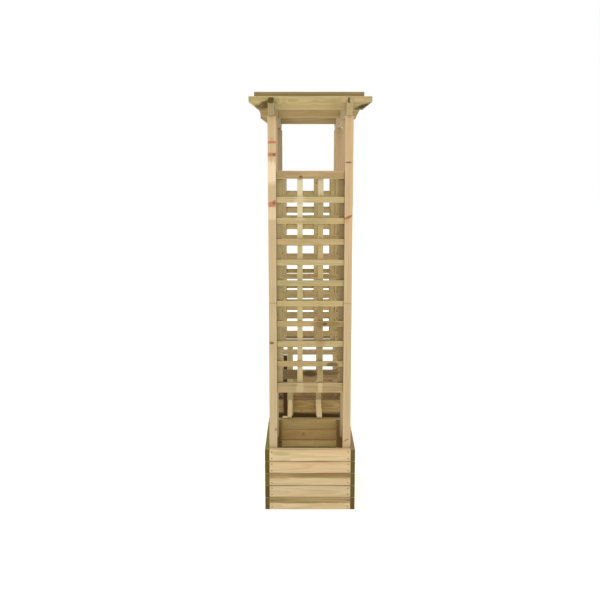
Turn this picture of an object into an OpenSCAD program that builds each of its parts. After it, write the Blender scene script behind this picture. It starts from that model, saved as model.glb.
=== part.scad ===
// Garden pergola with two planter boxes, four lattice panels and a flat rafter roof.
// Frame: +Z up, X across the width, Y along the length, origin at the middle of the footprint.
// Everything is drawn for the front half (Y below 0) and mirrored for the back half.

/* [Planters] */
// Length of a planter along Y
planter_l = 446; // [400:1:520]
// Width of a planter along X
planter_w = 442; // [420:1:520]
// Clear distance between the two planters
planter_gap = 294; // [240:1:400]
// Height of one planter board
board_h = 61.6; // [50:0.2:66]
// Thickness of a planter board
board_t = 22; // [16:1:24]
// Open joint between two boards
board_joint = 0.8; // [0.4:0.1:2]
// Number of boards in each planter wall
board_count = 5; // [4:1:6]
// Thickness of a floor slat
floor_t = 16; // [12:1:20]

/* [Posts] */
// Side of the square post section
post_w = 38; // [36:1:44]
// Height of the post tops
post_top = 1909; // [1850:1:2000]
// Height of the splice between the lower and the upper post piece
splice_z = 1033; // [950:1:1080]
// Height of the lower end of the inner posts
inner_post_foot = 277; // [240:1:300]
// Distance from the outer post row to the inner post row, centre to centre
tower_depth = 220; // [180:5:240]

/* [Lattice] */
// Height of the underside of the bottom rail
bottom_rail_z = 588; // [540:1:600]
// Height of the bottom rail section
bottom_rail_h = 48; // [40:1:52]
// Height of the underside of the top rail
top_rail_z = 1621; // [1600:1:1640]
// Height of the top rail section
top_rail_h = 38; // [36:1:46]
// Thickness of a rail
rail_t = 20; // [18:1:24]
// Height of the centre line of the lowest slat
first_slat_z = 732; // [700:1:740]
// Distance between slats
slat_pitch = 99; // [96:1:102]
// Number of slats
slat_count = 9; // [7:1:9]
// Height of a slat
slat_h = 27.5; // [22:0.5:30]
// Distance between the upright laths
lath_pitch = 98; // [90:1:98]
// Width of an upright lath
lath_w = 26; // [20:1:26]

/* [Roof] */
// Height of a side beam
beam_h = 75; // [66:1:90]
// Thickness of a side beam
beam_t = 28; // [22:1:36]
// Overhang of a side beam past the planter
beam_overhang = 50; // [30:5:80]
// Vertical part of a beam end above its chamfer
beam_nose = 24; // [20:1:40]
// Length of the two end rafters
rafter_l = 580; // [560:10:700]
// Height of the two end rafters
rafter_h = 61; // [56:1:72]
// Height of the middle rafter
middle_rafter_h = 136; // [100:1:160]
// Thickness of a rafter
rafter_t = 28; // [22:1:36]
// Length of the chamfer under a rafter end, along the rafter
rafter_run = 44; // [30:1:60]
// Depth that a rafter is notched over the beams
notch_h = 40; // [30:1:44]
// Distance from the planter face to the centre of an end rafter
rafter_set = 108; // [90:1:140]

/* [Link between the planters] */
// Thickness of a tie lath
tie_t = 12; // [10:1:16]
// Height of the top of an upright
upright_top = 640; // [500:5:660]
// Height of the foot of an upright
upright_foot = 223; // [190:1:240]

/* [Hidden] */

half_l = planter_l + planter_gap / 2;
front_y = -half_l;
inner_y = -planter_gap / 2;
half_w = planter_w / 2;
wall_x = half_w - board_t;
inside_l = planter_l - 2 * board_t;
board_pitch = board_h + board_joint;
rim_z = board_count * board_pitch - board_joint;
post_x = wall_x - post_w / 2;
post_in_x = wall_x - post_w;
outer_row_y = front_y + board_t + post_w / 2;
inner_row_y = outer_row_y + tower_depth;
batten_w = 50;
batten_t = 20;
batten_drop = 6;
batten_in_x = wall_x - batten_w;
batten_y = inner_y - board_t - batten_t;
slat_t = rail_t / 2;
lath_count = 4;
beam_l = 2 * (half_l + beam_overhang);
beam_top = post_top + beam_h;
rafter_z = beam_top - notch_h;
rafter_nose = 27;
middle_extra = 12;
middle_nose = 48;
floor_slats = 6;
floor_gap = 9;
bearer_w = 30;
bearer_h = 28;
bearer_x = 110;
bearer_play = 1;
floor_play = 2;
nail_r = 1.6;
nail_head_r = 3;
nail_head_h = 1.2;
nail_l = 40;
end_nail_x = 187;
end_nail_spread = 17;
side_nail_spread = 10;
dowel_r = 6;
dowel_l = 100;
screw_r = 2.5;
screw_head_r = 4.5;
screw_head_h = 3;
rail_screw_l = 80;
rafter_screw_l = 90;
post_screw_l = 130;
tie_x = [[-117, -96], [43, 72]];
foot_x = [-145, -117];
foot_l = 24;
foot_h = 8;
upright_x = [[-148, -125], [-124.5, -91], [44, 74]];
short_drop = 54;
upright_t = 21;
round_fn = 32;
over = 1;

// The back half is the front half turned over the middle of the length.
module at_end(back) mirror([0, back ? 1 : 0, 0]) children();
module at_side(right) mirror([right ? 0 : 1, 0, 0]) children();

// A headed nail or screw along +Z, its head's top at the origin, pointing down.
module fastener(r, head_r, head_h, l)
{
    translate([0, 0, -l])
        cylinder(r = r, h = l, $fn = round_fn);
    translate([0, 0, -head_h])
        cylinder(r = head_r, h = head_h, $fn = round_fn);
}

module nail() fastener(nail_r, nail_head_r, nail_head_h, nail_l);

// Nails of one end wall, from its outer face at y = face_y, driven towards dir.
module end_wall_nails(face_y, dir)
    for (i = [0 : board_count - 1], side = [-1, 1], s = [-1, 1])
        translate([side * end_nail_x, face_y, i * board_pitch + board_h / 2 + s * end_nail_spread])
            rotate([dir * 90, 0, 0])
                nail();

// Nails of the right side wall, into the corner post and the batten.
module side_wall_nails()
    for (i = [0 : board_count - 1], y = [outer_row_y, batten_y + batten_t / 2], s = [-1, 1])
        translate([half_w, y, i * board_pitch + board_h / 2 + s * side_nail_spread])
            rotate([0, 90, 0])
                nail();

module half_wall_nails()
{
    end_wall_nails(front_y, 1);
    end_wall_nails(inner_y, -1);
    for (right = [false, true])
        at_side(right) side_wall_nails();
}

module end_wall(y, face_y, dir)
    difference()
    {
        for (i = [0 : board_count - 1])
            translate([-wall_x, y, i * board_pitch])
                cube([2 * wall_x, board_t, board_h]);
        end_wall_nails(face_y, dir);
    }

module outer_wall() color([0.84, 0.75, 0.58]) end_wall(front_y, front_y, 1);
module inner_wall() color([0.70, 0.62, 0.42]) end_wall(inner_y - board_t, inner_y, -1);

module side_wall()
    color([0.62, 0.56, 0.36])
    difference()
    {
        for (i = [0 : board_count - 1])
            translate([wall_x, front_y, i * board_pitch])
                cube([board_t, planter_l, board_h]);
        side_wall_nails();
    }

module corner_batten()
    color([0.55, 0.48, 0.30])
    difference()
    {
        translate([batten_in_x, batten_y, 0])
            cube([batten_w, batten_t, rim_z - batten_drop]);
        end_wall_nails(inner_y, -1);
        side_wall_nails();
    }

// One floor slat, counted from the outer wall.
module floor_slat(i)
{
    slat_w = (inside_l - (floor_slats + 1) * floor_gap) / floor_slats;
    at_corners = i == 0 || i == floor_slats - 1;
    reach = (at_corners ? batten_in_x : wall_x) - floor_play;
    translate([-reach, front_y + board_t + floor_gap + i * (slat_w + floor_gap), bearer_h])
        cube([2 * reach, slat_w, floor_t]);
}

// Drained floor: slats across the planter on two bearers, the end ones short to clear the corners.
module planter_floor()
    color([0.58, 0.50, 0.33])
    for (i = [0 : floor_slats - 1])
        floor_slat(i);

module bearers()
    color([0.50, 0.43, 0.28])
    for (side = [-1, 1])
        translate([side * bearer_x - bearer_w / 2, front_y + board_t + bearer_play, 0])
            cube([bearer_w, inside_l - 2 * bearer_play, bearer_h]);

module floor_bearers()
    for (back = [false, true])
        at_end(back) bearers();

module dowel(y)
    translate([post_x, y, splice_z - dowel_l / 2])
        cylinder(r = dowel_r, h = dowel_l, $fn = round_fn);

module rail_screw(y, z)
    translate([wall_x, y, z])
        rotate([0, 90, 0])
            fastener(screw_r, screw_head_r, screw_head_h, rail_screw_l);

// Screws through both posts of a row into the panel rails, on the right-hand side.
module row_rail_screws(y)
{
    rail_screw(y, bottom_rail_z + bottom_rail_h / 2);
    rail_screw(y, top_rail_z + top_rail_h / 2);
}

module post_screw(y)
    translate([post_x, y, beam_top])
        fastener(screw_r, screw_head_r, screw_head_h, post_screw_l);

module post_piece(y, z0, z1)
    color([0.85, 0.77, 0.60])
    difference()
    {
        translate([post_in_x, y - post_w / 2, z0])
            cube([post_w, post_w, z1 - z0]);
        dowel(y);
        row_rail_screws(y);
        post_screw(y);
        if (z0 == 0)
        {
            end_wall_nails(front_y, 1);
            side_wall_nails();
        }
    }

module outer_post_lower() post_piece(outer_row_y, 0, splice_z);
module outer_post_upper() post_piece(outer_row_y, splice_z, post_top);
module inner_post_lower() post_piece(inner_row_y, inner_post_foot, splice_z);
module inner_post_upper() post_piece(inner_row_y, splice_z, post_top);

module rail(y, z, h)
    color([0.72, 0.64, 0.44])
    difference()
    {
        translate([-post_in_x, y - rail_t / 2, z])
            cube([2 * post_in_x, rail_t, h]);
        for (right = [false, true])
            at_side(right) row_rail_screws(y);
    }

module top_rail(y) rail(y, top_rail_z, top_rail_h);
module bottom_rail(y) rail(y, bottom_rail_z, bottom_rail_h);

// Level slats on the outer face of a panel, between the posts.
module slats(y)
    color([0.80, 0.72, 0.50])
    for (i = [0 : slat_count - 1])
        translate([-post_in_x, y - slat_t, first_slat_z + i * slat_pitch - slat_h / 2])
            cube([2 * post_in_x, slat_t, slat_h]);

// Upright laths behind the slats, from rail to rail.
module laths(y)
    color([0.76, 0.68, 0.46])
    for (i = [0 : lath_count - 1])
        translate([(i - (lath_count - 1) / 2) * lath_pitch - lath_w / 2, y, bottom_rail_z + bottom_rail_h])
            cube([lath_w, slat_t, top_rail_z - bottom_rail_z - bottom_rail_h]);

// Screws up through a beam into the three rafters, on the right-hand side.
module rafter_screws()
    for (y = [front_y + rafter_set, 0, -front_y - rafter_set])
        translate([post_x, y, post_top])
            mirror([0, 0, 1])
                fastener(screw_r, screw_head_r, screw_head_h, rafter_screw_l);

module beam_screws()
{
    rafter_screws();
    for (back = [false, true], y = [outer_row_y, inner_row_y])
        at_end(back) post_screw(y);
}

// Side beam with a vertical nose and a lower chamfer at each end.
module side_beam()
    color([0.74, 0.66, 0.47])
    difference()
    {
        chamfer = beam_h - beam_nose;
        translate([post_x - beam_t / 2, 0, post_top])
            rotate([90, 0, 90])
                linear_extrude(height = beam_t)
                    polygon([
                        [-beam_l / 2, beam_h], [beam_l / 2, beam_h],
                        [beam_l / 2, chamfer], [beam_l / 2 - chamfer, 0],
                        [-beam_l / 2 + chamfer, 0], [-beam_l / 2, chamfer]
                    ]);
        beam_screws();
    }

// Cross rafter, notched over both beams, with a lower chamfer at each end.
module rafter(y, l, h, nose)
    color([0.72, 0.64, 0.43])
    difference()
    {
        rise = h - nose;
        translate([0, y + rafter_t / 2, rafter_z])
            rotate([90, 0, 0])
                linear_extrude(height = rafter_t)
                    polygon([
                        [-l / 2, h], [l / 2, h], [l / 2, rise], [l / 2 - rafter_run, 0],
                        [-l / 2 + rafter_run, 0], [-l / 2, rise]
                    ]);
        for (right = [false, true])
            at_side(right)
            {
                translate([post_x - beam_t / 2, y - rafter_t, rafter_z - over])
                    cube([beam_t, 2 * rafter_t, notch_h + over]);
                rafter_screws();
            }
    }

module end_rafter() rafter(front_y + rafter_set, rafter_l, rafter_h, rafter_nose);
module middle_rafter() rafter(0, rafter_l + middle_extra, middle_rafter_h, middle_nose);

// Flat lath from the rim of the front planter to an upright on the back planter.
module tie_lath(span)
    color([0.82, 0.74, 0.56])
    translate([span[0], inner_y - board_t, rim_z])
        cube([span[1] - span[0], planter_gap + board_t - upright_t, tie_t]);

// Short block beside the left tie lath, flat on the rim of the front planter.
module tie_foot()
    color([0.82, 0.74, 0.56])
    translate([foot_x[0], inner_y - board_t, rim_z])
        cube([foot_x[1] - foot_x[0], foot_l, foot_h]);

// Upright board on the inner wall of the back planter.
module upright(span, top)
    color([0.48, 0.40, 0.24])
    translate([span[0], -inner_y - upright_t, upright_foot])
        cube([span[1] - span[0], upright_t, top - upright_foot]);

module left_tie()
{
    tie_lath(tie_x[0]);
    tie_foot();
}

module left_uprights()
{
    upright(upright_x[0], upright_top - short_drop);
    upright(upright_x[1], upright_top);
}

module wall_nails()
    color("dimgray")
    for (back = [false, true])
        at_end(back) half_wall_nails();

module rail_screws()
    color("silver")
    for (back = [false, true], right = [false, true], y = [outer_row_y, inner_row_y])
        at_end(back) at_side(right) row_rail_screws(y);

module splice_dowels()
    color("burlywood")
    for (back = [false, true], right = [false, true], y = [outer_row_y, inner_row_y])
        at_end(back) at_side(right) dowel(y);

module roof_screws()
    color("silver")
    for (right = [false, true])
        at_side(right) beam_screws();

at_end(false) outer_wall();  // front_planter_outer_wall
at_end(false) inner_wall();  // front_planter_inner_wall
at_end(false) at_side(false) side_wall();  // front_planter_left_side
at_end(false) at_side(true) side_wall();  // front_planter_right_side
at_end(false) at_side(false) corner_batten();  // front_planter_left_batten
at_end(false) at_side(true) corner_batten();  // front_planter_right_batten
at_end(false) planter_floor();  // front_planter_floor
at_end(true) outer_wall();  // back_planter_outer_wall
at_end(true) inner_wall();  // back_planter_inner_wall
at_end(true) at_side(false) side_wall();  // back_planter_left_side
at_end(true) at_side(true) side_wall();  // back_planter_right_side
at_end(true) at_side(false) corner_batten();  // back_planter_left_batten
at_end(true) at_side(true) corner_batten();  // back_planter_right_batten
at_end(true) planter_floor();  // back_planter_floor
at_end(false) at_side(false) outer_post_lower();  // front_left_outer_post_lower
at_end(false) at_side(false) outer_post_upper();  // front_left_outer_post_upper
at_end(false) at_side(true) outer_post_lower();  // front_right_outer_post_lower
at_end(false) at_side(true) outer_post_upper();  // front_right_outer_post_upper
at_end(false) at_side(false) inner_post_lower();  // front_left_inner_post_lower
at_end(false) at_side(false) inner_post_upper();  // front_left_inner_post_upper
at_end(false) at_side(true) inner_post_lower();  // front_right_inner_post_lower
at_end(false) at_side(true) inner_post_upper();  // front_right_inner_post_upper
at_end(true) at_side(false) outer_post_lower();  // back_left_outer_post_lower
at_end(true) at_side(false) outer_post_upper();  // back_left_outer_post_upper
at_end(true) at_side(true) outer_post_lower();  // back_right_outer_post_lower
at_end(true) at_side(true) outer_post_upper();  // back_right_outer_post_upper
at_end(true) at_side(false) inner_post_lower();  // back_left_inner_post_lower
at_end(true) at_side(false) inner_post_upper();  // back_left_inner_post_upper
at_end(true) at_side(true) inner_post_lower();  // back_right_inner_post_lower
at_end(true) at_side(true) inner_post_upper();  // back_right_inner_post_upper
at_end(false) top_rail(outer_row_y);  // front_outer_top_rail
at_end(false) bottom_rail(outer_row_y);  // front_outer_bottom_rail
at_end(false) slats(outer_row_y);  // front_outer_slats
at_end(false) laths(outer_row_y);  // front_outer_laths
at_end(false) top_rail(inner_row_y);  // front_inner_top_rail
at_end(false) bottom_rail(inner_row_y);  // front_inner_bottom_rail
at_end(false) slats(inner_row_y);  // front_inner_slats
at_end(false) laths(inner_row_y);  // front_inner_laths
at_end(true) top_rail(outer_row_y);  // back_outer_top_rail
at_end(true) bottom_rail(outer_row_y);  // back_outer_bottom_rail
at_end(true) slats(outer_row_y);  // back_outer_slats
at_end(true) laths(outer_row_y);  // back_outer_laths
at_end(true) top_rail(inner_row_y);  // back_inner_top_rail
at_end(true) bottom_rail(inner_row_y);  // back_inner_bottom_rail
at_end(true) slats(inner_row_y);  // back_inner_slats
at_end(true) laths(inner_row_y);  // back_inner_laths
floor_bearers();
at_side(false) side_beam();  // left_beam
at_side(true) side_beam();  // right_beam
at_end(false) end_rafter();  // front_rafter
middle_rafter();
at_end(true) end_rafter();  // back_rafter
left_tie();  // left_tie_lath
tie_lath(tie_x[1]);  // right_tie_lath
left_uprights();  // left_upright
upright(upright_x[2], upright_top);  // right_upright
wall_nails();
rail_screws();
splice_dowels();
roof_screws();
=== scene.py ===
import math
import random

import bpy
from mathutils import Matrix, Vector, noise


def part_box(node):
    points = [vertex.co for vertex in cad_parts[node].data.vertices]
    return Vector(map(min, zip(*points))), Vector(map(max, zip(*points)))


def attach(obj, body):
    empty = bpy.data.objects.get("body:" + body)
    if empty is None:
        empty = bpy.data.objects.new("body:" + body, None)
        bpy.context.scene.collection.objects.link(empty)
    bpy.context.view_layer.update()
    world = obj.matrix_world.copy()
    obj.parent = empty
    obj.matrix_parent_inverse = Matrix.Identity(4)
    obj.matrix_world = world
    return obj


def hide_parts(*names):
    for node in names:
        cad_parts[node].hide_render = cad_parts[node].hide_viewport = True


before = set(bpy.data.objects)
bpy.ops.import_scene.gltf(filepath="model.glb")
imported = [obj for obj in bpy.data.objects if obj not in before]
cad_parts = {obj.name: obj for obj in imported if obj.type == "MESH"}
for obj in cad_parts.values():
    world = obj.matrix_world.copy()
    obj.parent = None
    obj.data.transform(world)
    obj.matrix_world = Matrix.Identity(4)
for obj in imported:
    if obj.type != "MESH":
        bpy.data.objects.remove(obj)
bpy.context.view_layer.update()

# A timber pergola on two planters. Every timber gets a mesh with rounded, uneven edges in place
# of its CAD node, and carries its own grain for the material. The object is X wide, Y deep from
# the front, which looks towards -Y, and Z high. Everything is in metres.

# ---------------------------------------------------------------- sizes of the sticks
# Planters: courses of boards, floor slats (the end ones are shorter) and the floor's bearers.
BOARDS = 5
BOARD_JOINT = 0.0008
FLOOR_SLATS = 6
FLOOR_GAP = 0.009
FLOOR_SHORT = 0.100
BEARER_W = 0.030
BEARER_X = 0.110
BEARER_SPARE = 0.001
RIM_DEPTH = 0.004

# Link between the planters: left side of the tie lath proper, its foot, and where the left
# upright is split into a short dark board and a long one.
TIE_LEFT = -0.117
FOOT_L = 0.024
FOOT_H = 0.008
UPRIGHT_SPLIT = -0.125
UPRIGHT_JOINT = 0.0005
SHORT_DROP = 0.054

# Lattice panels.
SLATS = 9
SLAT_H = 0.0275
LATHS = 4
LATH_W = 0.026

# Roof: height of the blunt noses, run of the rafter chamfers, and the notches over the beams.
BEAM_NOSE = 0.024
RAFTER_NOSE = 0.027
RAFTER_RUN = 0.044
MIDDLE_NOSE = 0.048
NOTCH_H = 0.040
NOTCH_SLIT = 0.0004

# Rounding of the edges.
BOARD_ROUND = 0.0024
BATTEN_ROUND = 0.0020
FLOOR_ROUND = 0.0016
POST_ROUND = 0.0030
RAIL_ROUND = 0.0022
LATH_ROUND = 0.0018
FOOT_ROUND = 0.0014
RAFTER_ROUND = 0.0026

# How the timber meshes are built: distance between rings of points, bevel of the sawn ends,
# depth of the saw marks, and how much the rounding of the edges varies.
RING_STEP = 0.022
CAP = 0.0011
SAW_MARKS = 0.00028
WEAR = 0.45

# Share of the height above which, and below which, a board is dark. NO_BANDS leaves it clear.
NO_BANDS = (2.0, -2.0)
MIDDLE_RAFTER_BANDS = (0.80, -2.0)

# How each timber that shows in front departs from the colour of its material: boards and slats
# from the lowest, laths from the left. The FAR values are for the timbers behind, which they
# darken as painted shade.
SIDE_TINTS = {
    "left": ((0.90, 0.88, 0.96), (0.72, 0.68, 0.58), (1.02, 1.03, 0.90), (0.72, 0.82, 0.52),
             (0.82, 0.88, 0.66)),
    "right": ((0.84, 0.78, 0.60), (0.86, 0.92, 0.76), (0.90, 0.90, 0.86), (0.80, 0.94, 0.66),
              (0.92, 0.94, 0.90))}
BEAM_TINTS = {"left": (0.63, 0.66, 0.74), "right": (0.86, 0.88, 1.04)}
SLAT_TINTS = (0.77, 0.92, 0.80, 0.98, 0.92, 0.93, 0.88, 0.96, 1.0)
LATH_TINTS = (0.70, 1.04, 0.87, 0.48)
RAIL_TINTS = {"top_rail": 0.94, "bottom_rail": 0.98}
FAR_LATTICE_SHADE = 0.88
FAR_RAIL_SHADE = 0.7216
# The inner posts, and the back left ones, are darkened as painted shade.
INNER_POST_SHADE = 0.16
BACK_LEFT_POST_SHADE = 0.60
# The middle and back rafters are darker than the front one as painted shade.
RAFTER_TINTS = {"front": (0.89, 0.94, 0.98), "middle": (0.77, 0.75, 0.74),
                "back": (0.71, 0.71, 0.73)}
DARK_UPRIGHT = (0.09, 0.055, 0.03)

# The camera looks along Y, tilted down, with its frame shifted to place the object.
CAMERA_PLACE = (-0.0437, -3.8111, 1.6487)
CAMERA_TILT = 8
CAMERA_LENS = 41.42
CAMERA_SHIFT = (-0.0018, -0.0501)

dice = random.Random(41)


# ---------------------------------------------------------------- node materials
class Shader:
    """One node material. Each method adds a node and gives back its output."""

    def __init__(self, name):
        self.material = bpy.data.materials.new(name)
        self.material.use_nodes = True
        self.tree = self.material.node_tree
        self.tree.nodes.clear()

    def add(self, kind, inputs=None, **settings):
        node = self.tree.nodes.new(kind)
        for key, value in settings.items():
            setattr(node, key, value)
        for key, value in (inputs or {}).items():
            if isinstance(value, bpy.types.NodeSocket):
                self.tree.links.new(value, node.inputs[key])
            else:
                node.inputs[key].default_value = value
        return node

    def attribute(self, name):
        return self.add("ShaderNodeAttribute", attribute_name=name).outputs

    def math(self, operation, a, b=0.0):
        return self.add("ShaderNodeMath", {0: a, 1: b}, operation=operation).outputs[0]

    def vector(self, operation, a, b):
        return self.add("ShaderNodeVectorMath", {0: a, 1: b}, operation=operation).outputs[0]

    def length(self, a):
        return self.add("ShaderNodeVectorMath", {0: a}, operation="LENGTH").outputs["Value"]

    def split(self, a):
        return self.add("ShaderNodeSeparateXYZ", {0: a}).outputs

    def noise(self, vector, scales, detail=2.0):
        stretched = self.vector("MULTIPLY", vector, scales)
        inputs = {"Vector": stretched, "Scale": 1.0, "Detail": detail, "Roughness": 0.55}
        return self.add("ShaderNodeTexNoise", inputs).outputs["Fac"]

    def cells(self, vector, size):
        """Distance in metres to the nearest of the points scattered about size apart."""
        inputs = {"Vector": vector, "Scale": 1.0 / size, "Randomness": 1.0}
        distance = self.add("ShaderNodeTexVoronoi", inputs).outputs["Distance"]
        return self.math("MULTIPLY", distance, size)

    def ramp(self, value, low, high, to_low=0.0, to_high=1.0):
        inputs = {"Value": value, "From Min": low, "From Max": high,
                  "To Min": to_low, "To Max": to_high}
        node = self.add("ShaderNodeMapRange", inputs, interpolation_type="SMOOTHSTEP")
        return node.outputs["Result"]

    def blend(self, factor, a, b, mode="MIX"):
        node = self.add("ShaderNodeMix", data_type="RGBA", blend_type=mode)
        for index, value in ((0, factor), (6, a), (7, b)):
            if isinstance(value, bpy.types.NodeSocket):
                self.tree.links.new(value, node.inputs[index])
            else:
                node.inputs[index].default_value = value
        return node.outputs[2]

    def surface(self, colour, roughness, height, bump, specular, metallic=0.0):
        normal = self.add("ShaderNodeBump", {"Height": height, "Strength": bump,
                                             "Distance": 0.0012}).outputs["Normal"]
        shader = self.add("ShaderNodeBsdfPrincipled", {
            "Base Color": colour, "Roughness": roughness, "Normal": normal,
            "Specular IOR Level": specular, "Metallic": metallic})
        self.add("ShaderNodeOutputMaterial", {"Surface": shader.outputs[0]})
        return self.material


def srgb(red, green, blue):
    """A colour given as 0 to 255 display values, as linear RGBA."""
    def linear(value):
        value /= 255.0
        return value / 12.92 if value <= 0.04045 else ((value + 0.055) / 1.055) ** 2.4
    return (linear(red), linear(green), linear(blue), 1.0)


# Growth rings, knots (distances in metres) and the finish of treated pine.
RINGS_PER_METRE = 235.0
RING_DRIFT = 0.017
RING_WANDER = 0.011
KNOT_CORE = (0.0052, 0.0086)
KNOT_HALO = (0.006, 0.019)
KNOT_REACH = 0.034
KNOT_SWELL = 0.011
GRAIN_BUMP = 0.42
GRAIN_SPECULAR = 0.12
WORN_PINE = srgb(226, 208, 166)


class Pine(Shader):
    """Treated pine. Each layer takes the colour so far and gives back the next one."""

    def __init__(self, name, knots, spacing):
        super().__init__(name)
        self.grain = self.attribute("grain")["Vector"]
        self.along, _, self.level = self.split(self.attribute("local")["Vector"])
        self.band_top, self.band_bottom, self.sawn = self.split(self.attribute("marks")["Vector"])
        self.place = self.add("ShaderNodeTexCoord").outputs["Object"]
        self.fibre = self.noise(self.grain, (34.0, 1500.0, 1500.0), 2.0)
        self.streak = self.noise(self.grain, (4.0, 130.0, 130.0), 3.0)
        self.cloud = self.noise(self.place, (6.0, 6.0, 6.0), 2.0)
        self.knots = knots
        self.knot = self.cells(self.grain, spacing)
        self.core = self.ramp(self.knot, *KNOT_CORE, knots, 0.0)
        self.late = self.late_wood()

    def late_wood(self):
        """The dark part of each growth ring. Rings drift along the trunk and bend round knots."""
        radius = self.length(self.vector("MULTIPLY", self.grain, (0.0, 1.0, 1.0)))
        wander = self.noise(self.grain, (3.2, 26.0, 26.0), 3.0)
        swell = self.ramp(self.knot, 0.0, KNOT_REACH, KNOT_SWELL * self.knots, 0.0)
        radius = self.math("ADD", radius, self.math("MULTIPLY", wander, RING_WANDER))
        radius = self.math("ADD", radius, swell)
        drift = self.math("MULTIPLY", self.split(self.grain)[0], RING_DRIFT)
        radius = self.math("ADD", radius, drift)
        ring = self.math("FRACT", self.math("MULTIPLY", radius, RINGS_PER_METRE))
        return self.math("MULTIPLY", self.ramp(ring, 0.25, 0.88), self.ramp(ring, 0.90, 1.0, 1.0, 0.0))

    def clear_wood(self, pale, deep, contrast):
        """Rings, warm patches, streaks and fine fibres."""
        patch = self.noise(self.grain, (2.6, 17.0, 17.0), 2.0)
        fibres = self.blend(self.fibre, srgb(120, 96, 58), srgb(255, 240, 205))
        colour = self.blend(self.math("MULTIPLY", self.late, contrast), pale, deep)
        colour = self.blend(self.ramp(patch, 0.40, 0.66, 0.0, 0.36), colour, srgb(206, 168, 130))
        colour = self.blend(self.ramp(self.streak, 0.35, 0.72, 0.0, 0.38), colour, deep)
        return self.blend(0.22, colour, fibres, "SOFT_LIGHT")

    def green_stain(self, colour, strength):
        """Green stain of the treatment, in clouds and near the ends of each stick."""
        end_near = self.math("ABSOLUTE", self.math("SUBTRACT", self.along, 0.5))
        spread = self.math("MULTIPLY", self.cloud, 0.09)
        end_zone = self.ramp(self.math("ADD", end_near, spread), 0.49, 0.56)
        stain = self.math("MAXIMUM", self.ramp(self.cloud, 0.52, 0.72), end_zone)
        return self.blend(self.math("MULTIPLY", stain, strength), colour, srgb(128, 128, 66))

    def bark_and_shade_bands(self, colour):
        """Dark bands with a wavy edge: at the top of a board, where it reaches the outside of the log;
        at the bottom, painted shade.
        """
        wave = self.math("MULTIPLY", self.noise(self.grain, (9.0, 0.0, 0.0), 3.0), 0.30)
        level = self.math("ADD", self.level, self.math("SUBTRACT", wave, 0.15))
        high = self.ramp(self.math("SUBTRACT", level, self.band_top), -0.02, 0.02)
        low = self.ramp(self.math("SUBTRACT", self.band_bottom, level), -0.04, 0.04)
        # The same colour makes the bark bands and the painted shade low on a board.
        bark = self.blend(self.ramp(self.streak, 0.3, 0.7), srgb(172, 148, 98), srgb(144, 121, 74))
        band = self.math("MAXIMUM", high, low)
        return self.blend(self.math("MULTIPLY", band, 0.80), colour, bark)

    def knot_marks(self, colour):
        """A dark core in a reddish ring."""
        halo = self.ramp(self.knot, *KNOT_HALO, self.knots, 0.0)
        colour = self.blend(self.math("MULTIPLY", halo, 0.45), colour, srgb(158, 104, 62))
        return self.blend(self.math("MULTIPLY", self.core, 0.85), colour, srgb(88, 52, 28))

    def sawn_ends(self, colour, strength):
        """Sawn ends soak up the treatment and go dark olive."""
        olive = self.blend(self.math("MULTIPLY", self.late, 0.6), srgb(106, 90, 50), srgb(70, 56, 26))
        olive = self.blend(self.ramp(self.cloud, 0.50, 0.75, 0.0, 0.6), olive, srgb(88, 88, 46))
        return self.blend(self.math("MULTIPLY", self.sawn, strength), colour, olive)

    def spot(self, colour, centre, radii, spot_colour, strength, rise=0):
        """One mark at a fixed place, sloping up to the right by rise degrees."""
        turned = self.add("ShaderNodeVectorRotate", {
            "Vector": self.place, "Center": centre, "Axis": (0.0, 1.0, 0.0),
            "Angle": math.radians(rise)}).outputs["Vector"]
        offset = self.vector("DIVIDE", self.vector("SUBTRACT", turned, centre), radii)
        rough = self.math("ADD", self.length(offset), self.math("MULTIPLY", self.streak, 0.9))
        return self.blend(self.ramp(rough, 1.10, 1.65, strength, 0.0), colour, spot_colour)

    def worn_edges(self, colour, edge_colour, strength):
        """Rounded edges turn to another colour, except round the sawn ends."""
        patchy = self.ramp(self.streak, 0.35, 0.6, 0.3 * strength, strength)
        worn = self.math("MULTIPLY", self.attribute("edge")["Fac"], patchy)
        worn = self.math("MULTIPLY", worn, self.math("SUBTRACT", 1.0, self.sawn))
        return self.blend(worn, colour, edge_colour)

    def finish(self, colour):
        """Tints each stick and adds the relief. Gives back the material."""
        colour = self.blend(1.0, colour, self.attribute("tint")["Color"], "MULTIPLY")
        roughness = self.math("ADD", self.ramp(self.streak, 0.2, 0.8, 0.56, 0.76),
                              self.math("MULTIPLY", self.sawn, 0.14))
        height = self.math("MULTIPLY", self.late, 0.30)
        for layer, rise in ((self.fibre, 0.34), (self.core, -0.45), (self.streak, 0.25)):
            height = self.math("ADD", height, self.math("MULTIPLY", layer, rise))
        return self.surface(colour, roughness, height, GRAIN_BUMP, GRAIN_SPECULAR)


def timber(name, pale, deep, green=0.25, contrast=0.55, knots=1.0, spacing=0.105, spots=(),
           edges=(WORN_PINE, 0.25), ends=1.0):
    """Material of treated pine between two wood colours.

    green, contrast, knots and ends are the strengths of the green stain, the rings, the knots
    and the dark sawn ends. spacing is the usual distance between knots. spots come from
    on_face() or the rim helper; the rim marks are painted shade. edges is the colour that the
    rounded edges turn to, and how far.
    """
    pine = Pine(name, knots, spacing)
    colour = pine.clear_wood(pale, deep, contrast)
    colour = pine.green_stain(colour, green)
    colour = pine.bark_and_shade_bands(colour)
    colour = pine.knot_marks(colour)
    colour = pine.sawn_ends(colour, ends)
    for spot in spots:
        colour = pine.spot(colour, *spot)
    return pine.finish(pine.worn_edges(colour, *edges))


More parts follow.
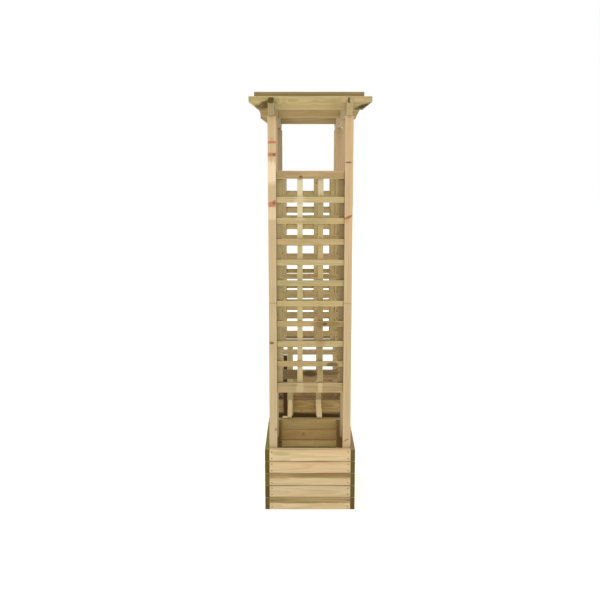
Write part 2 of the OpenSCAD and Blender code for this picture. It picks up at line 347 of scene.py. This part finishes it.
def fixing(name, colour, stain, metallic):
    """Plain material of a nail, screw or dowel, blotched with the colour of its stain."""
    s = Shader(name)
    place = s.add("ShaderNodeTexCoord").outputs["Object"]
    grime = s.noise(place, (140.0, 140.0, 140.0), 3.0)
    scratch = s.noise(place, (900.0, 900.0, 900.0), 2.0)
    blotched = s.blend(s.ramp(grime, 0.35, 0.7, 0.15, 0.9), colour, stain)
    return s.surface(blotched, s.ramp(scratch, 0.2, 0.8, 0.42, 0.7), scratch, 0.25, 0.5, metallic)


# ---------------------------------------------------------------- timber meshes
# For each way a stick can run: the axis of its length, its thickness and its height.
RUNS = {"X": (0, 1, 2), "Y": (1, 0, 2), "Z": (2, 0, 1)}


def section(v0, v1, w0, w1, radii):
    """Rounded rectangle as (v, w, edge) points. radii holds (rv, rw) for each corner."""
    corners = ((v0, w0, 1, 1), (v1, w0, -1, 1), (v1, w1, -1, -1), (v0, w1, 1, -1))
    points = []
    for index, (v, w, sv, sw) in enumerate(corners):
        rv, rw = radii[index]
        centre_v, centre_w = v + sv * rv, w + sw * rw
        for step in range(4):
            turn = math.radians(step * 30)
            near, far = math.cos(turn), math.sin(turn)
            if index % 2:
                near, far = far, near
            points.append((centre_v - sv * rv * near, centre_w - sw * rw * far, 1.0))
    closed = []
    for index, point in enumerate(points):
        closed.append(point)
        if index % 4 == 3:
            after = points[(index + 1) % len(points)]
            for part in (0.08, 0.36, 0.64, 0.92):
                closed.append((point[0] + (after[0] - point[0]) * part,
                               point[1] + (after[1] - point[1]) * part, 0.0))
    return closed


class Timber:
    """Collects sticks of one material and turns them into one piece."""

    def __init__(self):
        self.points = []
        self.faces = []
        self.grain = []
        self.local = []
        self.marks = []
        self.edge = []
        self.tint = []

    def stick(self, run, low, high, under=None, radius=RAIL_ROUND, tint=(1, 1, 1), bands=NO_BANDS,
              wane=0.0, pith=None):
        """Adds a stick between two corners.

        under lists (distance along, height of the underside). wane is how far the bark side
        is rounded off at one upper edge. pith is the place of the tree's heart.
        """
        axes = RUNS[run]
        s0, v0, w0 = (low[axis] for axis in axes)
        s1, v1, w1 = (high[axis] for axis in axes)
        length = s1 - s0
        seed = Vector((dice.uniform(-50, 50), dice.uniform(-50, 50), dice.uniform(-50, 50)))
        pith_v, pith_w = pith or (dice.choice((-1, 1)) * dice.uniform(0.03, 0.08),
                                  dice.uniform(-0.03, 0.03))
        pith_v += (v0 + v1) / 2
        pith_w += (w0 + w1) / 2
        start = dice.uniform(0.0, 40.0)
        under = under or [(0.0, 0.0), (length, 0.0)]
        stops = self.stops(length, under)
        base = len(self.points)
        for place in stops:
            at_cap = place < CAP * 0.5 or place > length - CAP * 0.5
            shrink = CAP if at_cap else 0.0
            bottom = w0 + self.level(under, place)
            wear = noise.noise(seed + Vector((place * 14, 0, 0)))
            r = radius * (1.0 + WEAR * wear)
            radii = [(r, r)] * 4
            if wane:
                bite = 0.5 + 0.5 * noise.noise(seed + Vector((place * 7, 5, 0)))
                radii[3] = (0.0012 + 0.0040 * bite, r + wane * (0.75 + 0.5 * bite))
            ring = section(v0 + shrink, v1 - shrink, bottom + shrink, w1 - shrink, radii)
            count = len(ring)
            for v, w, edge in ring:
                grit = noise.noise(seed + Vector((place * 9, v * 60, w * 60)))
                rough = SAW_MARKS * (0.5 + 0.5 * grit)
                v -= rough * (1 if v > (v0 + v1) / 2 else -1)
                w -= rough * (1 if w > (bottom + w1) / 2 else -1)
                point = [0.0, 0.0, 0.0]
                for axis, value in zip(axes, (s0 + place, v, w)):
                    point[axis] = value
                self.points.append(point)
                self.grain.append((start + place, v - pith_v, w - pith_w))
                self.local.append((place / length, (v - v0) / (v1 - v0), (w - w0) / (w1 - w0)))
                self.marks.append((bands[0], bands[1], 1.0 if at_cap else 0.0))
                self.edge.append(edge)
                self.tint.append((*tint, 1.0))
        flip = run == "Y"
        rings = len(stops)
        for i in range(rings - 1):
            for j in range(count):
                a = base + i * count + j
                b = base + i * count + (j + 1) % count
                quad = (a, b, b + count, a + count)
                self.faces.append(quad[::-1] if not flip else quad)
        first = [base + j for j in range(count)]
        last = [base + (rings - 1) * count + j for j in range(count)]
        self.faces.append(first if not flip else first[::-1])
        self.faces.append(last[::-1] if not flip else last)

    @staticmethod
    def stops(length, under):
        """Distances along the stick at which it has a ring of points."""
        places = {0.0, CAP, length - CAP, length}
        places.update(place for place, _ in under if CAP < place < length - CAP)
        count = max(2, round(length / RING_STEP))
        for i in range(1, count):
            place = length * i / count
            if all(abs(place - other) > 0.004 for other in places):
                places.add(place)
        return sorted(places)

    @staticmethod
    def level(under, place):
        """Height of the underside at one place along the stick."""
        for (s0, w0), (s1, w1) in zip(under, under[1:]):
            if s0 <= place <= s1:
                return w0 + (w1 - w0) * (place - s0) / (s1 - s0)
        return under[-1][1]

    def piece(self, name, material, slot, *nodes):
        """Makes the Blender object, which stands for the CAD nodes."""
        mesh = bpy.data.meshes.new(name)
        mesh.from_pydata(self.points, [], self.faces)
        for title, kind, values in (("grain", "FLOAT_VECTOR", self.grain),
                                    ("local", "FLOAT_VECTOR", self.local),
                                    ("marks", "FLOAT_VECTOR", self.marks),
                                    ("edge", "FLOAT", self.edge),
                                    ("tint", "FLOAT_COLOR", self.tint)):
            layer = mesh.attributes.new(title, kind, "POINT")
            field = {"FLOAT_VECTOR": "vector", "FLOAT": "value", "FLOAT_COLOR": "color"}[kind]
            flat = values if kind == "FLOAT" else [part for value in values for part in value]
            layer.data.foreach_set(field, flat)
        for face in mesh.polygons:
            face.use_smooth = True
        mesh.set_sharp_from_angle(angle=math.radians(38))
        mesh.materials.append(material)
        piece = bpy.data.objects.new(name, mesh)
        bpy.context.scene.collection.objects.link(piece)
        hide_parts(*nodes)
        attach(piece, "root")
        return piece


def shade(level, warmth=0.0, green=0.0):
    """A tint: overall level, with more red for warmth and less red and blue for green."""
    return (level * (1 + 0.05 * warmth - 0.06 * green), level * (1 - 0.02 * warmth),
            level * (1 - 0.09 * warmth - 0.10 * green))


def any_shade(low=0.92, high=1.03):
    return shade(dice.uniform(low, high), dice.uniform(-0.6, 0.8), dice.uniform(0.0, 0.6))


# ---------------------------------------------------------------- the materials
def near_face(node):
    """Where along the object the face of a CAD node that looks to the front is."""
    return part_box(node)[0].y


def on_face(y, depth, rows):
    """Marks on a face that looks to the front.

    A row holds x, z, half width, half height, colour, strength and, for a mark that slopes,
    its rise to the right in degrees. depth is how far it reaches into the timber.
    """
    return [((x, y, z), (wide, depth, high), colour, strength, *rise)
            for x, z, wide, high, colour, strength, *rise in rows]


def painted_rim_shade(x, y, wide, deep, colour, strength):
    """Painted shade along the top edge of a planter wall, darkening the top face that the lamps light
    from above.
    """
    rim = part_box("front_planter_outer_wall")[1].z
    return ((x, y, rim), (wide, deep, RIM_DEPTH), colour, strength)


def front_pine():
    """The pale front boards, with green and pink stains."""
    spots = on_face(near_face("front_planter_outer_wall"), 0.030, [
        (-0.142, 0.289, 0.046, 0.012, srgb(158, 150, 92), 0.55),
        (-0.070, 0.299, 0.080, 0.007, srgb(182, 180, 124), 0.45),
        (0.020, 0.172, 0.090, 0.008, srgb(142, 140, 78), 0.50),
        (-0.165, 0.052, 0.045, 0.016, srgb(136, 138, 78), 0.50),
        (-0.020, 0.036, 0.070, 0.006, srgb(140, 146, 78), 0.50),
        (0.110, 0.187, 0.110, 0.005, srgb(204, 132, 98), 0.55)])
    return timber("front_board_pine", srgb(207, 188, 150), srgb(180, 155, 112), 0.0, 0.46, 0.0,
                  spots=spots, edges=(srgb(120, 96, 56), 0.50))


def board_pine():
    """The other planter boards. The front planter's inner wall is dark low down, and the tops of the
    walls carry painted shade.
    """
    spots = on_face(near_face("front_planter_inner_wall"), 0.012, [
        (0.000, 0.132, 0.600, 0.021, srgb(84, 76, 24), 0.88),
        (0.000, 0.190, 0.240, 0.003, srgb(190, 108, 70), 0.70)])
    # Painted shade along the tops of the side walls and of the front planter's inner wall.
    spots.append(painted_rim_shade(-0.210, -0.370, 0.030, 0.600, srgb(128, 118, 80), 0.88))
    spots.append(painted_rim_shade(0.210, -0.370, 0.030, 0.600, srgb(144, 112, 92), 0.88))
    spots.append(painted_rim_shade(0.000, -0.158, 0.600, 0.018, srgb(124, 102, 62), 0.85))
    return timber("board_pine", srgb(216, 190, 144), srgb(188, 156, 106), 0.22, 0.50, 0.35,
                  spots=spots, edges=(srgb(168, 142, 92), 0.20))


def inner_pine():
    """The back planter's inner wall, with one almost black board and painted shade along its top edge.
    """
    spots = on_face(near_face("back_planter_inner_wall"), 0.012, [
        (0.000, 0.196, 0.900, 0.044, srgb(60, 38, 10), 0.96)])
    # Painted shade along the top of the wall.
    spots.append(painted_rim_shade(0.000, 0.158, 0.600, 0.018, srgb(112, 92, 54), 0.85))
    return timber("inner_board_pine", srgb(186, 162, 108), srgb(142, 114, 64), 0.45, 0.60,
                  spots=spots)


def sawn_pine():
    """Floor slats, bearers and battens."""
    return timber("sawn_pine", srgb(160, 136, 86), srgb(118, 94, 50), 0.50, 0.55)


def post_pine():
    """The posts. The near ones have red bands, knots and pale stretches, and the right one a painted
    shadow of the beam.
    """
    spots = on_face(near_face("front_left_outer_post_upper"), 0.030, [
        (-0.180, 1.650, 0.050, 0.055, srgb(228, 204, 170), 0.75),
        (-0.180, 1.460, 0.050, 0.030, srgb(216, 192, 154), 0.60),
        (-0.180, 1.789, 0.040, 0.006, srgb(176, 96, 74), 0.85),
        (-0.180, 1.733, 0.040, 0.009, srgb(168, 98, 74), 0.80),
        (-0.166, 1.733, 0.008, 0.009, srgb(104, 60, 36), 0.75),
        (-0.180, 1.503, 0.040, 0.012, srgb(176, 104, 80), 0.85),
        (-0.166, 1.512, 0.012, 0.012, srgb(122, 78, 46), 0.70),
        (-0.185, 0.838, 0.012, 0.007, srgb(112, 70, 38), 0.80),
        # Painted shadow of the beam on the upper left of the right post.
        (0.166, 1.800, 0.012, 0.100, srgb(178, 154, 114), 0.60),
        (0.176, 1.697, 0.018, 0.004, srgb(92, 70, 42), 0.85),
        (0.174, 1.440, 0.026, 0.007, srgb(138, 76, 40), 0.85, 28),
        (0.172, 1.424, 0.014, 0.012, srgb(190, 138, 92), 0.60, 28),
        (0.178, 0.350, 0.018, 0.003, srgb(116, 80, 42), 0.80, 30)])
    return timber("post_pine", srgb(187, 168, 134), srgb(165, 140, 101), 0.12, 0.40, 0.7, 0.150,
                  spots)


def rail_pine():
    """The lattice rails. The bottom one is paler where two laths stand on it. The inner panel's bottom
    rail carries painted shade.
    """
    spots = on_face(near_face("front_outer_top_rail"), 0.030, [
        (-0.045, 1.629, 0.009, 0.008, srgb(112, 70, 36), 0.85)])
    spots += on_face(near_face("front_outer_bottom_rail"), 0.012, [
        (-0.049, 0.612, 0.018, 0.050, srgb(200, 182, 138), 0.42),
        (0.049, 0.612, 0.011, 0.050, srgb(206, 190, 138), 0.48)])
    # Painted shade on the inner panel's bottom rail, behind the front lattice.
    spots += on_face(near_face("front_inner_bottom_rail"), 0.012, [
        (-0.100, 0.612, 0.050, 0.060, srgb(122, 102, 62), 0.75),
        (0.000, 0.618, 0.040, 0.016, srgb(92, 68, 34), 0.85),
        (0.113, 0.622, 0.060, 0.013, srgb(128, 106, 66), 0.75)])
    return timber("rail_pine", srgb(162, 144, 106), srgb(131, 109, 70), 0.30, 0.45, 0.4,
                  spots=spots)


def lath_pine():
    """The lattice slats and laths."""
    slats = near_face("front_outer_slats")
    spots = on_face(slats, 0.020, [
        (0.108, 0.728, 0.030, 0.014, srgb(86, 68, 34), 0.72)])
    spots += on_face(near_face("front_outer_laths"), 0.012, [
        (0.049, 0.880, 0.040, 0.240, srgb(148, 122, 78), 0.80),
        (-0.049, 1.520, 0.040, 0.150, srgb(210, 190, 152), 0.85),
        (0.049, 1.590, 0.040, 0.050, srgb(208, 190, 154), 0.85),
        (0.049, 1.460, 0.040, 0.060, srgb(166, 146, 104), 0.70)])
    spots += on_face(slats, 0.020, [
        (0.085, 0.930, 0.080, 0.020, srgb(132, 108, 64), 0.70),
        (0.070, 0.930, 0.010, 0.007, srgb(92, 58, 30), 0.80)])
    return timber("lath_pine", srgb(186, 168, 125), srgb(155, 134, 88), 0.30, 0.45, 0.5, 0.125,
                  spots)


def roof_pine():
    """The beams and rafters, with dark beam ends and rafter chamfers, and a painted shadow on the side
    of the right beam.
    """
    spots = on_face(near_face("front_rafter"), 0.020, [
        (0.020, 1.955, 0.170, 0.013, srgb(178, 150, 98), 0.60)])
    spots += on_face(near_face("front_rafter"), 0.030, [
        (-0.218, 1.959, 0.058, 0.021, srgb(96, 72, 34), 0.90, 31),
        (-0.236, 1.956, 0.024, 0.003, srgb(160, 130, 92), 0.60, 31),
        (-0.257, 1.950, 0.012, 0.018, srgb(98, 88, 44), 0.80, -30),
        (0.247, 1.953, 0.062, 0.015, srgb(70, 56, 20), 0.92, 20)])
    spots += on_face(near_face("middle_rafter"), 0.020, [
        (0.000, 2.064, 0.900, 0.026, srgb(148, 127, 82), 0.90)])
    spots += on_face(near_face("left_beam"), 0.004, [
        (-0.180, 1.972, 0.016, 0.018, srgb(108, 84, 34), 0.94),
        (0.187, 1.972, 0.014, 0.018, srgb(178, 158, 110), 0.90),
        (0.169, 1.967, 0.005, 0.013, srgb(92, 74, 30), 0.90),
        (-0.198, 1.987, 0.010, 0.010, srgb(186, 164, 112), 0.90)])
    # Painted shadow along the side of the right beam.
    painted_beam_shadow = ((0.194, -0.620, 1.935), (0.003, 0.060, 0.040), srgb(84, 62, 26), 0.85)
    spots.append(painted_beam_shadow)
    return timber("roof_pine", srgb(193, 173, 122), srgb(155, 131, 80), 0.30, 0.50, 0.4,
                  spots=spots)


def link_pine():
    """The tie laths and uprights between the planters."""
    return timber("link_pine", srgb(220, 200, 156), srgb(184, 156, 110), 0.20, 0.45, 0.3, ends=0.2)


def make_materials():
    return {
        "front": front_pine(), "boards": board_pine(), "inner": inner_pine(),
        "rough": sawn_pine(), "posts": post_pine(), "rails": rail_pine(), "laths": lath_pine(),
        "roof": roof_pine(), "links": link_pine(),
        "nails": fixing("nail_steel", srgb(120, 104, 80), srgb(92, 64, 38), 0.75),
        "screws": fixing("screw_steel", srgb(160, 154, 140), srgb(110, 86, 58), 0.75),
        "dowels": fixing("dowel_beech", srgb(206, 178, 132), srgb(176, 142, 96), 0.0),
    }


# ---------------------------------------------------------------- the pieces
def wall(node, run, material, slot, looks, outside):
    """A planter wall of five boards."""
    low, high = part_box(node)
    pitch = (high.z - low.z + BOARD_JOINT) / BOARDS
    wood = Timber()
    for i in range(BOARDS):
        look = looks.get(i, {})
        bottom = low.z + i * pitch
        top = bottom + pitch - BOARD_JOINT
        wood.stick(run, (low.x, low.y, bottom), (high.x, high.y, top),
                   tint=look.get("tint") or any_shade(), bands=look.get("bands", NO_BANDS),
                   wane=look.get("wane", 0.0), radius=BOARD_ROUND,
                   pith=(outside * dice.uniform(0.03, 0.06), dice.uniform(-0.015, 0.015)))
    wood.piece(node + "_boards", material, slot, node)


def planter(end, materials):
    """One planter. The looks give the tints, dark bands and wane of single boards, by course."""
    front = end == "front"
    outer_looks = {
        4: {"tint": shade(0.97, 0.1)},
        3: {"tint": shade(0.92, 0.4)},
        2: {"tint": shade(0.89, 0.1), "bands": (0.60, -2.0), "wane": 0.013},
        1: {"tint": shade(0.88, -0.2)},
        0: {"tint": shade(0.93, 0.0), "bands": (0.52, -2.0), "wane": 0.022},
    }
    inner_looks = {
        4: {"tint": (1.05, 1.12, 1.00)},
        3: {"tint": (1.12, 1.13, 0.96)},
        2: {"tint": (1.42, 1.60, 1.50)},
    }
    # In the back planter's inner wall, the top board and the lower part of the next one are darkened
    # as painted shade.
    far_looks = {
        4: {"tint": shade(0.76)},
        3: {"tint": (0.88, 0.92, 0.92), "bands": (2.0, 0.62)},
    }
    outside = 1 if front else -1
    skin = materials["front" if front else "boards"]
    wall(f"{end}_planter_outer_wall", "X", skin, "wall_boards", outer_looks if front else {},
         outside)
    skin = materials["boards" if front else "inner"]
    wall(f"{end}_planter_inner_wall", "X", skin, "inner_wall_boards",
         inner_looks if front else far_looks, -outside)
    for side, turn in (("left", 1), ("right", -1)):
        looks = {i: {"tint": tint} for i, tint in enumerate(SIDE_TINTS[side])}
        wall(f"{end}_planter_{side}_side", "Y", materials["boards"], "wall_boards", looks, turn)
        node = f"{end}_planter_{side}_batten"
        low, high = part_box(node)
        wood = Timber()
        wood.stick("Z", low, high, tint=any_shade(0.9, 1.0), radius=BATTEN_ROUND)
        wood.piece(node + "_stick", materials["rough"], "battens", node)
    planter_floor(f"{end}_planter_floor", materials["rough"])


def planter_floor(node, material):
    """Slats across the planter, with gaps to drain it. The end ones clear the corners."""
    low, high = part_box(node)
    wood = Timber()
    width = (high.y - low.y - (FLOOR_SLATS - 1) * FLOOR_GAP) / FLOOR_SLATS
    for i in range(FLOOR_SLATS):
        near = low.y + i * (width + FLOOR_GAP)
        inset = FLOOR_SHORT / 2 if i in (0, FLOOR_SLATS - 1) else 0.0
        wood.stick("X", (low.x + inset, near, low.z), (high.x - inset, near + width, high.z),
                   tint=any_shade(0.85, 1.0), radius=FLOOR_ROUND)
    wood.piece(node + "_slats", material, "floor_boards", node)


def bearers(material):
    """Two bearers under each floor."""
    low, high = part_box("floor_bearers")
    wood = Timber()
    for end in ("front", "back"):
        floor_low, floor_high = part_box(f"{end}_planter_floor")
        spare = FLOOR_GAP - BEARER_SPARE
        for middle in (-BEARER_X, BEARER_X):
            wood.stick("Y", (middle - BEARER_W / 2, floor_low.y - spare, low.z),
                       (middle + BEARER_W / 2, floor_high.y + spare, high.z),
                       tint=any_shade(0.8, 0.95))
    wood.piece("floor_bearer_sticks", material, "floor_boards", "floor_bearers")


def post(end, side, row, part, material):
    """One length of a post. The inner posts and the back left ones are darker, as painted shade."""
    node = f"{end}_{side}_{row}_post_{part}"
    level = 1.03 if part == "upper" else 1.0
    # Painted shade: the inner posts and the back left ones are darker.
    if row == "inner":
        level -= INNER_POST_SHADE
    if (end, side) == ("back", "left"):
        level = BACK_LEFT_POST_SHADE
    warmth = 0.2 if side == "right" else -0.1
    wood = Timber()
    wood.stick("Z", *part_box(node), tint=shade(level, warmth), radius=POST_ROUND)
    wood.piece(node + "_timber", material, "posts", node)


def any_tint(level, low, high):
    return tuple(part * level for part in any_shade(low, high))


def lattice(end, row, materials):
    """One lattice panel: two rails, level slats and upright laths."""
    name = f"{end}_{row}"
    # Every panel but the front outer one is darkened as painted shade.
    near = name == "front_outer"
    for part in ("top_rail", "bottom_rail"):
        node = f"{name}_{part}"
        level = RAIL_TINTS[part] if near else FAR_RAIL_SHADE
        wood = Timber()
        wood.stick("X", *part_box(node), tint=shade(level, 0.1), radius=RAIL_ROUND)
        wood.piece(node + "_timber", materials["rails"], "lattice_rails", node)
    node = f"{name}_slats"
    low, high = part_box(node)
    pitch = (high.z - low.z - SLAT_H) / (SLATS - 1)
    wood = Timber()
    for i in range(SLATS):
        bottom = low.z + i * pitch
        level = SLAT_TINTS[i] if near else FAR_LATTICE_SHADE
        wood.stick("X", (low.x, low.y, bottom), (high.x, high.y, bottom + SLAT_H),
                   tint=any_tint(level, 0.96, 1.02), radius=LATH_ROUND)
    wood.piece(node + "_sticks", materials["laths"], "lattice_laths", node)
    node = f"{name}_laths"
    low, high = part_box(node)
    pitch = (high.x - low.x - LATH_W) / (LATHS - 1)
    wood = Timber()
    for i in range(LATHS):
        left = low.x + i * pitch
        level = LATH_TINTS[i] if near else FAR_LATTICE_SHADE
        wood.stick("Z", (left, low.y, low.z), (left + LATH_W, high.y, high.z),
                   tint=any_tint(level, 0.97, 1.03), radius=LATH_ROUND)
    wood.piece(node + "_sticks", materials["laths"], "lattice_laths", node)


def beam(node, material, tint):
    """Side beam with a chamfer under each end."""
    low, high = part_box(node)
    length = high.y - low.y
    chamfer = high.z - low.z - BEAM_NOSE
    under = [(0.0, chamfer), (chamfer, 0.0), (length - chamfer, 0.0), (length, chamfer)]
    wood = Timber()
    wood.stick("Y", low, high, under=under, tint=tint, radius=POST_ROUND)
    wood.piece(node + "_timber", material, "roof_timber", node)


def rafter(node, nose, material, tint, bands=NO_BANDS):
    """Cross rafter with a chamfer under each end, notched over both beams."""
    low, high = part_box(node)
    length = high.x - low.x
    rise = high.z - low.z - nose
    under = [(0.0, rise), (RAFTER_RUN, 0.0)]
    notches = []
    for side in ("left", "right"):
        beam_low, beam_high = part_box(f"{side}_beam")
        start, stop = beam_low.x - low.x, beam_high.x - low.x
        notches += [(start - NOTCH_SLIT, 0.0), (start, NOTCH_H),
                    (stop, NOTCH_H), (stop + NOTCH_SLIT, 0.0)]
    under += [*notches, (length - RAFTER_RUN, 0.0), (length, rise)]
    wood = Timber()
    wood.stick("X", low, high, under=under, tint=tint, bands=bands, radius=RAFTER_ROUND,
               pith=(0.05, 0.01))
    wood.piece(node + "_timber", material, "roof_timber", node)


def links(material):
    """The two tie laths with a foot beside the left one, and the uprights they run to."""
    low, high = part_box("left_tie_lath")
    wood = Timber()
    wood.stick("Y", (TIE_LEFT, low.y, low.z), high, tint=shade(1.06), radius=LATH_ROUND)
    wood.stick("X", low, (TIE_LEFT, low.y + FOOT_L, low.z + FOOT_H), tint=shade(1.0),
               radius=FOOT_ROUND)
    wood.piece("left_tie_lath_timber", material, "link_laths", "left_tie_lath")
    wood = Timber()
    wood.stick("Y", *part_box("right_tie_lath"), tint=shade(1.02), radius=LATH_ROUND)
    wood.piece("right_tie_lath_timber", material, "link_laths", "right_tie_lath")
    low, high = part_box("left_upright")
    wood = Timber()
    wood.stick("Z", low, (UPRIGHT_SPLIT, high.y, high.z - SHORT_DROP),
               tint=DARK_UPRIGHT, radius=LATH_ROUND)
    wood.stick("Z", (UPRIGHT_SPLIT + UPRIGHT_JOINT, low.y, low.z), high,
               tint=shade(0.62, 0.0, 0.9), radius=LATH_ROUND)
    wood.piece("left_upright_timber", material, "link_laths", "left_upright")
    wood = Timber()
    wood.stick("Z", *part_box("right_upright"), tint=shade(0.66, 0.0, 0.6), radius=LATH_ROUND)
    wood.piece("right_upright_timber", material, "link_laths", "right_upright")


def repaint(node, material):
    """Gives a CAD node that keeps its own shape a new material."""
    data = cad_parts[node].data
    data.materials.clear()
    data.materials.append(material)


# ---------------------------------------------------------------- floor, light, camera
def stage_floor():
    mesh = bpy.data.meshes.new("studio_floor")
    size = 30.0
    drop = -0.0008
    corners = [(-size, -size, drop), (size, -size, drop), (size, size, drop), (-size, size, drop)]
    mesh.from_pydata(corners, [], [(0, 1, 2, 3)])
    s = Shader("pale_floor")
    shader = s.add("ShaderNodeBsdfPrincipled", {"Base Color": (0.93, 0.93, 0.93, 1.0),
                                                "Roughness": 0.9, "Specular IOR Level": 0.1,
                                                "Emission Color": (1.0, 1.0, 1.0, 1.0),
                                                "Emission Strength": 0.34})
    s.add("ShaderNodeOutputMaterial", {"Surface": shader.outputs[0]})
    mesh.materials.append(s.material)
    floor = bpy.data.objects.new("studio_floor", mesh)
    bpy.context.scene.collection.objects.link(floor)


def area_light(name, place, target, size, power):
    data = bpy.data.lights.new(name, "AREA")
    data.shape = "SQUARE"
    data.size = size
    data.energy = power
    lamp = bpy.data.objects.new(name, data)
    lamp.location = place
    lamp.rotation_euler = (Vector(target) - Vector(place)).to_track_quat("-Z", "Y").to_euler()
    bpy.context.scene.collection.objects.link(lamp)


def studio():
    world = bpy.data.worlds.new("studio_white")
    world.use_nodes = True
    background = world.node_tree.nodes["Background"]
    background.inputs["Color"].default_value = (1.0, 1.0, 1.0, 1.0)
    background.inputs["Strength"].default_value = 1.0
    scene = bpy.context.scene
    scene.world = world
    scene.view_settings.view_transform = "Standard"
    area_light("key_softbox", (-2.2, -4.2, 3.6), (0, 0, 1.0), 2.4, 26)
    area_light("fill_softbox", (2.6, -3.8, 2.0), (0, 0, 1.0), 2.4, 10)


def camera():
    data = bpy.data.cameras.new("camera")
    data.sensor_width = 36.0
    data.lens = CAMERA_LENS
    data.shift_x, data.shift_y = CAMERA_SHIFT
    data.clip_end = 100.0
    view = bpy.data.objects.new("camera", data)
    view.location = CAMERA_PLACE
    view.rotation_euler = (math.radians(90 - CAMERA_TILT), 0, 0)
    bpy.context.scene.collection.objects.link(view)
    bpy.context.scene.camera = view


def main():
    camera()
    studio()
    stage_floor()
    materials = make_materials()
    for end in ("front", "back"):
        planter(end, materials)
        for side in ("left", "right"):
            for row in ("outer", "inner"):
                for part in ("lower", "upper"):
                    post(end, side, row, part, materials["posts"])
        for row in ("outer", "inner"):
            lattice(end, row, materials)
    for side in ("left", "right"):
        beam(f"{side}_beam", materials["roof"], BEAM_TINTS[side])
    links(materials["links"])
    bearers(materials["rough"])
    rafter("front_rafter", RAFTER_NOSE, materials["roof"], RAFTER_TINTS["front"])
    rafter("middle_rafter", MIDDLE_NOSE, materials["roof"], RAFTER_TINTS["middle"],
           MIDDLE_RAFTER_BANDS)
    rafter("back_rafter", RAFTER_NOSE, materials["roof"], RAFTER_TINTS["back"])
    repaint("wall_nails", materials["nails"])
    repaint("rail_screws", materials["screws"])
    repaint("roof_screws", materials["screws"])
    repaint("splice_dowels", materials["dowels"])


main()
